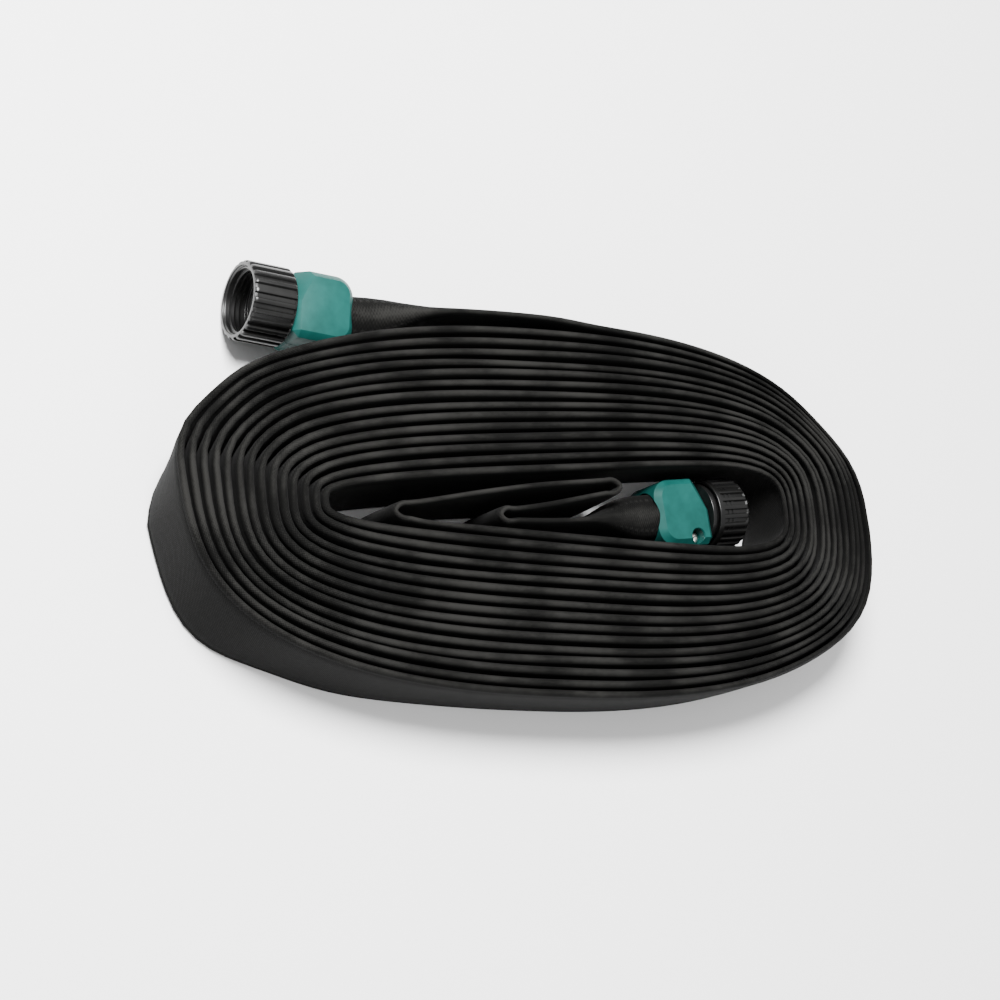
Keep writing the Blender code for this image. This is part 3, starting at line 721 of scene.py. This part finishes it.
SCREW_LINE = (Matrix.Translation((11.0 * MM, 0.0, -8.6 * MM))
              @ Matrix.Rotation(math.radians(-90.0), 4, "X"))
CLAMP_HALF_DEPTH = 12.5 * MM
# Larger than any fitting, so that a cutter reaches past it on every side, in mm.
FAR = 60.0
SPLIT_GAP = 0.15


def clamp_block():
    """The clamp before it is cut: square at the nut, rounded at the hose."""
    half, length, radius, arc = 14.5, 27.0, 8.0, 12
    points = [(half, 0.0), (-half, 0.0)]
    for hand in (-1.0, 1.0):
        for k in range(arc + 1):
            turn = math.radians(90.0 * (k if hand < 0.0 else arc - k) / arc)
            points.append((hand * (half - radius + radius * math.cos(turn)),
                           -length + radius - radius * math.sin(turn)))
    work = bmesh.new()
    low = [work.verts.new((x * MM, -CLAMP_HALF_DEPTH, u * MM)) for x, u in points]
    high = [work.verts.new((x * MM, CLAMP_HALF_DEPTH, u * MM)) for x, u in points]
    work.faces.new(low)
    work.faces.new(high[::-1])
    for k in range(len(points)):
        m = (k + 1) % len(points)
        work.faces.new((low[k], low[m], high[m], high[k]))
    bmesh.ops.recalc_face_normals(work, faces=work.faces)
    mesh = bpy.data.meshes.new("clamp_block")
    work.to_mesh(mesh)
    work.free()
    return mesh


def make_clamp(prefix, at):
    """Two moulded shells round the stem and the gathered hose, split along their middle."""
    bore = [(0.001, 1.0), (8.5, 1.0), (8.5, -3.0), (10.2, -3.0), (10.2, -6.2), (8.5, -6.2),
            (8.5, -11.0), (11.0, -11.0), (11.0, -26.2), (11.9, -28.0), (0.001, -28.0)]
    screw_hole = [(0.001, 8.7), (1.55, 8.7), (1.55, -30.0), (0.001, -30.0)]
    recess = [(0.001, -6.2), (3.2, -6.2), (3.2, -11.9), (3.6, -12.6), (3.6, -30.0), (0.001, -30.0)]
    for hand, half in ((1.0, "upper"), (-1.0, "lower")):
        lean = Vector((-0.33, 0.65 * hand, 0.68)).normalized()
        spot = Matrix.Translation(Vector((-11.3, 13.1 * hand, -8.4)) * MM)
        tilt = lean.to_track_quat("Z", "Y").to_matrix().to_4x4()
        facet = cutter(block((-FAR, -FAR, 0), (FAR, FAR, FAR)), spot @ tilt)
        from_side, to_side = (-FAR, SPLIT_GAP) if hand > 0 else (-SPLIT_GAP, FAR)
        other = cutter(block((-FAR, from_side, -FAR), (FAR, to_side, FAR)))
        steps = [("bevel", (2.6, 1, 30.0)), ("cut", facet), ("cut", other),
                 ("cut", cutter(solid(bore))), ("cut", cutter(solid(screw_hole, 32), SCREW_LINE))]
        if hand < 0.0:
            steps.append(("cut", cutter(solid(recess, 40), SCREW_LINE)))
        steps.append(("bevel", (0.35, 2, 24.0)))
        mesh = carve(clamp_block(), steps)
        work = bmesh.new()
        work.from_mesh(mesh)
        bmesh.ops.remove_doubles(work, verts=work.verts, dist=0.003 * MM)
        bmesh.ops.dissolve_degenerate(work, edges=work.edges, dist=0.001 * MM)
        piece = finish_mesh(f"{prefix}_shell_{half}", work, TEAL, "hose_body",
                            at, 20.0)
        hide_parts(f"{prefix}_clamp_{half}")


def make_screw(prefix, at):
    """A cross-headed clamp screw."""
    head = [(0.001, -8.4), (1.5, -8.4), (2.3, -8.05), (2.6, -7.4), (2.6, -6.5), (1.25, -6.5),
            (1.25, 7.4), (0.6, 8.2), (0.001, 8.2)]
    work = bmesh.new()
    lathe(work, eased(in_mm(head), 0.15 * MM), 48)
    bmesh.ops.remove_doubles(work, verts=work.verts, dist=WELD)
    bmesh.ops.recalc_face_normals(work, faces=work.faces)
    mesh = bpy.data.meshes.new("screw_blank")
    work.to_mesh(mesh)
    work.free()
    slots = [("cut", cutter(block((-x, -y, -9.4), (x, y, -7.5))))
             for x, y in ((1.6, 0.35), (0.35, 1.6))]
    mesh = carve(mesh, slots)
    work = bmesh.new()
    work.from_mesh(mesh)
    piece = finish_mesh(f"{prefix}_screw", work, STEEL, "hose_body",
                        at @ SCREW_LINE, 30.0)
    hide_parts(f"{prefix}_clamp_screw")


make_turned()
for prefix, at in (("inlet", INLET), ("outlet", OUTLET)):
    make_clamp(prefix, at)
    make_screw(prefix, at)


# ---------------------------------------------------------------- floor, light and camera

def add_light(name, location, size, power):
    """A round soft light that faces the coil."""
    data = bpy.data.lights.new(name, "AREA")
    data.shape = "DISK"
    data.size = size
    data.energy = power
    light = bpy.data.objects.new(name, data)
    bpy.context.scene.collection.objects.link(light)
    light.location = location
    light.rotation_euler = (-Vector(location)).to_track_quat("-Z", "Y").to_euler()


def make_floor():
    n = Nodes("floor_paint")
    spot = n.add("ShaderNodeTexCoord").outputs["Object"]
    cloud = n.noise(spot, 2.0, 2.0)
    n.set(Base_Color=n.ramp(cloud, [(0.3, (0.90, 0.90, 0.90)), (0.7, (0.93, 0.93, 0.93))]),
          Roughness=n.span(cloud, 0.85, 0.95))
    work = bmesh.new()
    bmesh.ops.create_grid(work, x_segments=4, y_segments=4, size=4.0)
    mesh = bpy.data.meshes.new("floor")
    work.to_mesh(mesh)
    work.free()
    floor = bpy.data.objects.new("floor", mesh)
    bpy.context.scene.collection.objects.link(floor)
    mesh.materials.append(n.material)


make_floor()
world = bpy.data.worlds.new("studio")
bpy.context.scene.world = world
world.use_nodes = True
background = world.node_tree.nodes["Background"]
background.inputs["Color"].default_value = (1.0, 1.0, 1.0, 1.0)
background.inputs["Strength"].default_value = 0.8
add_light("key", (-0.45, 0.55, 1.20), 0.6, 96.0)
add_light("fill", (-0.2, -1.3, 0.9), 0.9, 7.0)

# The camera looks down at 56 degrees from the coil's left, with the coil's long axis level.
CAMERA_TARGET = Vector((-0.009784, -0.01411, 0.019))
CAMERA_DISTANCE = 1.3
CAMERA_ELEVATION = math.radians(56.0)
CAMERA_ROLL = math.radians(67.8)
VIEW_WIDTH = 0.41667

camera_data = bpy.data.cameras.new("camera")
camera = bpy.data.objects.new("camera", camera_data)
bpy.context.scene.collection.objects.link(camera)
# The direction that the camera looks from, which keeps the coil's long axis level in the picture.
azimuth = math.pi + math.atan2(math.cos(CAMERA_ROLL) * math.sin(CAMERA_ELEVATION),
                               math.sin(CAMERA_ROLL))
toward = Vector((math.cos(CAMERA_ELEVATION) * math.cos(azimuth),
                 math.cos(CAMERA_ELEVATION) * math.sin(azimuth), math.sin(CAMERA_ELEVATION)))
sideways = Vector((-math.sin(azimuth), math.cos(azimuth), 0.0))
level = math.cos(CAMERA_ROLL) * sideways + math.sin(CAMERA_ROLL) * toward.cross(sideways)
facing = Matrix((level, toward.cross(level), toward)).transposed().to_4x4()
camera.matrix_world = Matrix.Translation(CAMERA_TARGET + toward * CAMERA_DISTANCE) @ facing
camera_data.angle = 2.0 * math.atan(VIEW_WIDTH / 2.0 / CAMERA_DISTANCE)
camera_data.shift_x = -0.01
camera_data.shift_y = 0.02
bpy.context.scene.camera = camera
